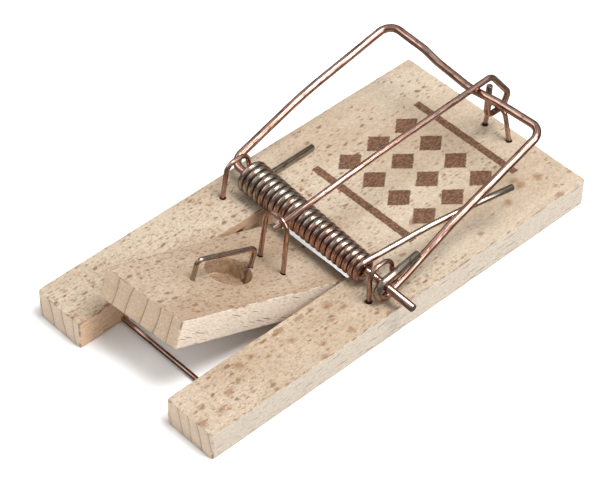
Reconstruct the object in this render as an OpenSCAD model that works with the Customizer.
// Snap mouse trap, shown set: a slotted beech board with a tilting wooden treadle,
// a spring-loaded wire striker and a locking rod that holds the striker down.
//
// Millimetres. +Z is up, +Y runs to the rear edge where the locking rod is stapled,
// +X runs to the side where the axle sticks out. The origin lies on the underside,
// in the middle of the solid land behind the slot.
// Positions along the board are given from the middle of its length and are moved
// to the origin by from_middle().

/* [Board] */
// Length of the board
board_l = 100; // [96:1:110]
// Width of the board
board_w = 50; // [49:0.5:60]
// Thickness of the board
board_t = 6.4; // [6:0.1:7]
// Width of the slot that the treadle tilts in
slot_w = 25; // [24.6:0.1:26]
// Rear end of the slot, behind the middle of the board
slot_back = 3; // [2.6:0.1:5]

/* [Treadle] */
// Angle that the treadle stands at when the trap is set
treadle_tilt = 18.5; // [17:0.5:19]
// Width of the treadle at its front end
treadle_front_w = 19.6; // [18:0.1:20]
// Width of the treadle at its rear end
treadle_rear_w = 21.2; // [20:0.1:21.4]
// Diameter of the bait hole
bait_hole_d = 9.2; // [7:0.1:10]
// Depth of the bait hole
bait_hole_depth = 4; // [2:0.1:4.5]

/* [Wires] */
// Diameter of the striker wire
striker_d = 1.7; // [1.5:0.05:1.75]
// Diameter of the spring wire
spring_d = 1.35; // [1.2:0.05:1.4]
// Diameter of the locking rod
rod_d = 1.3; // [1.2:0.05:1.35]
// Diameter of the staple wire
staple_d = 1; // [0.9:0.05:1]
// Diameter of the treadle's pivot pin
pin_d = 1.5; // [1.2:0.1:1.6]
// Number of full turns in the spring coil
coil_turns = 22; // [18:1:22]

/* [Hidden] */
$fn = 48;

beech = "#dcc5a5";
copper = "#b98a78";
steel = "#8b8178";

// Middle of the land behind the slot, from the middle of the board
origin_y = (slot_back + board_l / 2) / 2;

// Radial room of a leg or pin that is driven into wood
driven_fit = 0.02;
// Radial room of the treadle's bore on its pin
pivot_fit = 0.06;
leg_depth = 4.6;
// Flats round a bent wire
wire_sides = 10;

// Treadle pivot: [along the board, height]
pivot = [-9.2, 3.57];
// Treadle ends, from the pivot along its own length
treadle_front = -37.65;
treadle_back = 5.45;
// Sideways place of the treadle's middle line at its two ends
treadle_front_x = -1.5;
treadle_back_x = 1.5;
// Extra length of the front end's left corner, which is cut out of square
front_skew = 1.9;
bait_hole_at = [-0.3, -15.75];

// Axle of the striker, at the board's middle line, and how far it is turned from square
axle_at = [0, -1.8, 9.6];
axle_skew = -2;
axle_ends = [-20.9, 29];
// Bearing stretches are true cylinders, this much thicker than the swept wire that runs into them
bearing_proud = 0.02;

function axle_point(x) = axle_at + x * [1, tan(axle_skew), 0];

// Wire routes: bend points first, then one bend radius for each inner point

striker_route = [axle_point(axle_ends[0] + 0.5), axle_point(-23.8), [-23.4, 17.8, 16.6], [-22.6, 41.2, 22.4],
    [-12.4, 40.8, 22.3], [-8.6, 40.7, 21.4], [1, 40.3, 20.85], [9, 40, 22.4], [21.2, 39.6, 23.5],
    [21.2, 15.1, 14.6]];
striker_bends = [2.6, 60, 2.9, 6, 6, 12, 12, 2.9, 40, 10];
eye_centre = [21.5, -2.75, 9.4];
eye_r = 2.05;
tail_slope = 9;
tail_l = 9;
arm_foot_l = 5;
arm_slope = 21;

// Middle of the staple's bar that the locking rod hangs on
rod_hinge = [3.2, 46.5, 13.95];
rod_route = [[2.45, -14.1, 18.6], [2.85, 12, 21.4], [3.2, 44, 23.2], [3.2, 49.5, 15.9],
    [3.2, 48.3, 12.7], [3.2, 43.35, 12.7], [3.2, 43.7, 21]];
rod_bends = [250, 2.4, 1.6, 1.2, 2];

// Straight stretch of the staple's bar under the rod's loop, from and to in x
rear_bar = [2.95, 3.65];
rear_staple_route = [[-0.8, 47.4, board_t - leg_depth], [1.3, 46.5, rod_hinge.z],
    [5.3, 46.5, rod_hinge.z], [7.6, 47.4, board_t - leg_depth]];
left_staple_route = [[-19.9, -7.8, board_t - leg_depth], [-20.1, -5.6, 14.2],
    [-20.1, -0.4, 14.2], [-20.1, 1.7, board_t - leg_depth]];
right_staple_route = [[19.95, -5.6, board_t - leg_depth], [19.85, -5.5, 14.5],
    [19.85, 0.2, 14.5], [19.85, 1, board_t - leg_depth]];
stop_wire_route = [[-15.5, -39.3, 4], [-15.5, -39.3, 0.55], [15.5, -39.3, 0.55], [15.5, -39.3, 4]];

// These two routes are in the treadle's own frame: [across, from the pivot, above the pivot]
treadle_top = board_t / 2;
catch_route = [[-1.7, -5.05, treadle_top - leg_depth], [-1.2, -8.45, treadle_top + 11.9],
    [4.5, -8.45, treadle_top + 11.9], [5.1, -5.05, treadle_top - leg_depth]];
bait_route = [[-1.2, -24.45, treadle_top - leg_depth], [-1.2, -24.45, treadle_top + 4.4],
    [0.4, -10.55, treadle_top + 4.4], [0.4, -10.55, treadle_top - leg_depth]];

// Spring coil: centre and centre-line radius at its left and right ends
coil_left = [-18.1, -1.2, 10.12];
coil_right = [15.6, -2.4, 9.65];
coil_left_r = 3;
coil_right_r = 2.25;
steps_per_turn = 12;
coil_steps = (coil_turns + 0.5) * steps_per_turn;
left_leg_end = [-18.2, 15.9, coil_left.z - coil_left_r];
right_leg = [[18.4, 12, 13.95], [20.95, 22.5, 15.1], [22.9, 30.2, 15.7]];

// ---------------------------------------------------------------- helpers

module from_middle() {
    translate([0, -origin_y, 0]) children();
}

function unit(v) = v / norm(v);

// Steps that a bend of this many degrees is drawn with
function bend_steps(angle) = max(2, ceil(angle / 12));

// The bend at b on the way from a to c, as points on an arc of radius r
function bend_points(a, b, c, r) =
    let (
        u = unit(b - a),
        v = unit(c - b),
        angle = acos(u * v),
        inward = unit(v - (u * v) * u),
        start = b - r * tan(angle / 2) * u,
        n = bend_steps(angle)
    )
    [for (i = [0 : n]) start + r * (sin(angle * i / n) * u + (1 - cos(angle * i / n)) * inward)];

// A wire route through the points p, with bend radii r at its inner points
function rounded(p, r) = concat(
    [p[0]],
    [for (i = [1 : len(p) - 2]) each bend_points(p[i - 1], p[i], p[i + 1], r[i - 1])],
    [p[len(p) - 1]]);

// v with its part along u taken out, at length 1
function square_to(u, v) = unit(v - (u * v) * u);

// Round wire of diameter d swept along the points q as one closed skin, without twist
module swept_wire(q, d) {
    n = len(q);
    along = [for (i = [0 : n - 1]) unit(q[min(i + 1, n - 1)] - q[max(i - 1, 0)])];
    start = abs(along[0].x) > 0.8 ? [0, 0, 1] : [1, 0, 0];
    side = [for (i = 0, x = square_to(along[0], start); i < n;
        i = i + 1, x = i < n ? square_to(along[i], x) : x) x];
    rings = [for (i = [0 : n - 1]) for (k = [0 : wire_sides - 1])
        let (angle = 360 * k / wire_sides)
        q[i] + d / 2 * (cos(angle) * side[i] + sin(angle) * cross(along[i], side[i]))];
    function at(i, k) = i * wire_sides + k % wire_sides;
    skin = [for (i = [0 : n - 2]) for (k = [0 : wire_sides - 1])
        [at(i, k), at(i + 1, k), at(i + 1, k + 1), at(i, k + 1)]];
    first = [for (k = [0 : wire_sides - 1]) k];
    final = [for (k = [wire_sides - 1 : -1 : 0]) at(n - 1, k)];
    polyhedron(points = rings, faces = concat(skin, [first, final]), convexity = 10);
}

// A four-point staple with both bends of radius r
module staple(route, r) {
    swept_wire(rounded(route, [r, r]), staple_d);
}

// A straight round bar, or the hole for one, from the point a to the point b
module round_bar(a, b, d) {
    v = b - a;
    translate(a) rotate([0, acos(v.z / norm(v)), atan2(v.y, v.x)]) cylinder(h = norm(v), d = d);
}

// The two holes that a staple's legs are driven into, from their ends up to its shoulders
module leg_holes(route) {
    round_bar(route[0], route[1], staple_d + 2 * driven_fit);
    round_bar(route[3], route[2], staple_d + 2 * driven_fit);
}

function mix(a, b, t) = a + (b - a) * t;

// Centre line of the coil: from the bottom at the left end, over the front, to the top at the right
coil_points = [for (i = [0 : coil_steps])
    let (
        t = i / coil_steps,
        angle = -90 - 360 * i / steps_per_turn,
        r = mix(coil_left_r, coil_right_r, t)
    )
    mix(coil_left, coil_right, t) + r * [0, cos(angle), sin(angle)]];

// ---------------------------------------------------------------- wooden parts

module treadle_frame() {
    translate([0, pivot[0], pivot[1]]) rotate([-treadle_tilt, 0, 0]) children();
}

module pin_shape(d, x_from, x_to) {
    translate([x_from, pivot[0], pivot[1]]) rotate([0, 90, 0]) cylinder(h = x_to - x_from, d = d);
}

// The groove across the underside that the stop wire lies in
module stop_wire_groove() {
    w = staple_d + 2 * driven_fit;
    round_bar(stop_wire_route[1], stop_wire_route[2], w);
    translate(stop_wire_route[1] - [0, w / 2, 1]) cube([norm(stop_wire_route[2] - stop_wire_route[1]), w, 1]);
}

module base_board() {
    color(beech) from_middle() difference() {
        linear_extrude(board_t) difference() {
            square([board_w, board_l], center = true);
            translate([-slot_w / 2, -board_l]) square([slot_w, board_l + slot_back]);
        }
        pin_shape(pin_d + 2 * driven_fit, -board_w / 2 - 1, 19.2);
        leg_holes(rear_staple_route);
        leg_holes(left_staple_route);
        leg_holes(right_staple_route);
        leg_holes(stop_wire_route);
        stop_wire_groove();
    }
}

module treadle() {
    color(beech) from_middle() difference() {
        treadle_frame() difference() {
            translate([0, 0, -treadle_top]) linear_extrude(board_t) polygon([
                [treadle_front_x - treadle_front_w / 2, treadle_front],
                [treadle_front_x + treadle_front_w / 2, treadle_front + front_skew],
                [treadle_back_x + treadle_rear_w / 2, treadle_back],
                [treadle_back_x - treadle_rear_w / 2, treadle_back]]);
            rotate([0, 90, 0]) cylinder(h = 60, d = pin_d + 2 * pivot_fit, center = true);
            translate([bait_hole_at.x, bait_hole_at.y, treadle_top - bait_hole_depth])
                cylinder(h = bait_hole_depth + 1, d = bait_hole_d);
            leg_holes(catch_route);
            leg_holes(bait_route);
        }
        // The rear edge is planed off underneath, level with the board's underside
        translate([-board_w / 2, pivot[0] - 2, -9.85]) cube([board_w, 20, 10]);
    }
}

// ---------------------------------------------------------------- wire parts

module treadle_pivot_pin() {
    color(steel) from_middle() pin_shape(pin_d, -board_w / 2 + 0.2, 19);
}

module front_stop_wire() {
    color(copper) from_middle() staple(stop_wire_route, 0.6);
}

module left_axle_staple() {
    color(copper) from_middle() staple(left_staple_route, 2.2);
}

module right_axle_staple() {
    color(copper) from_middle() staple(right_staple_route, 2.5);
}

// The locking rod's loop hangs on the straight stretch between the bends
module rear_staple() {
    color(copper) from_middle() {
        staple(rear_staple_route, 1.7);
        round_bar([rear_bar[0], rod_hinge.y, rod_hinge.z], [rear_bar[1], rod_hinge.y, rod_hinge.z],
            staple_d + bearing_proud);
    }
}

module locking_rod() {
    color(copper) from_middle() swept_wire(rounded(rod_route, rod_bends), rod_d);
}

module catch_staple() {
    color(copper) from_middle() treadle_frame() staple(catch_route, 2.6);
}

module bait_staple() {
    color(steel) from_middle() treadle_frame() staple(bait_route, 1.2);
}

module torsion_spring() {
    color(steel) from_middle() swept_wire(concat([left_leg_end], coil_points, right_leg), spring_d);
}

// The striker is one wire: axle, left arm, crossbar, right arm, and an eye round the axle
// that ends in a tail above the arm
module striker() {
    eye = [for (angle = [arm_slope - 90 : -12 : tail_slope - 270])
        eye_centre + eye_r * [0, cos(angle), sin(angle)]];
    tail_end = eye_centre + eye_r * [0, -sin(tail_slope), cos(tail_slope)]
        + tail_l * [0, cos(tail_slope), sin(tail_slope)];
    arm_foot = eye[0] + arm_foot_l * [0, cos(arm_slope), sin(arm_slope)];
    color(copper) from_middle() {
        swept_wire(concat(rounded(concat(striker_route, [arm_foot, eye[0]]), striker_bends),
            [for (i = [1 : len(eye) - 1]) eye[i]], [tail_end]), striker_d);
        round_bar(axle_point(axle_ends[0]), axle_point(axle_ends[1]), striker_d + bearing_proud);
    }
}

base_board();
treadle();
treadle_pivot_pin();
front_stop_wire();
left_axle_staple();
right_axle_staple();
rear_staple();
locking_rod();
catch_staple();
bait_staple();
torsion_spring();
striker();
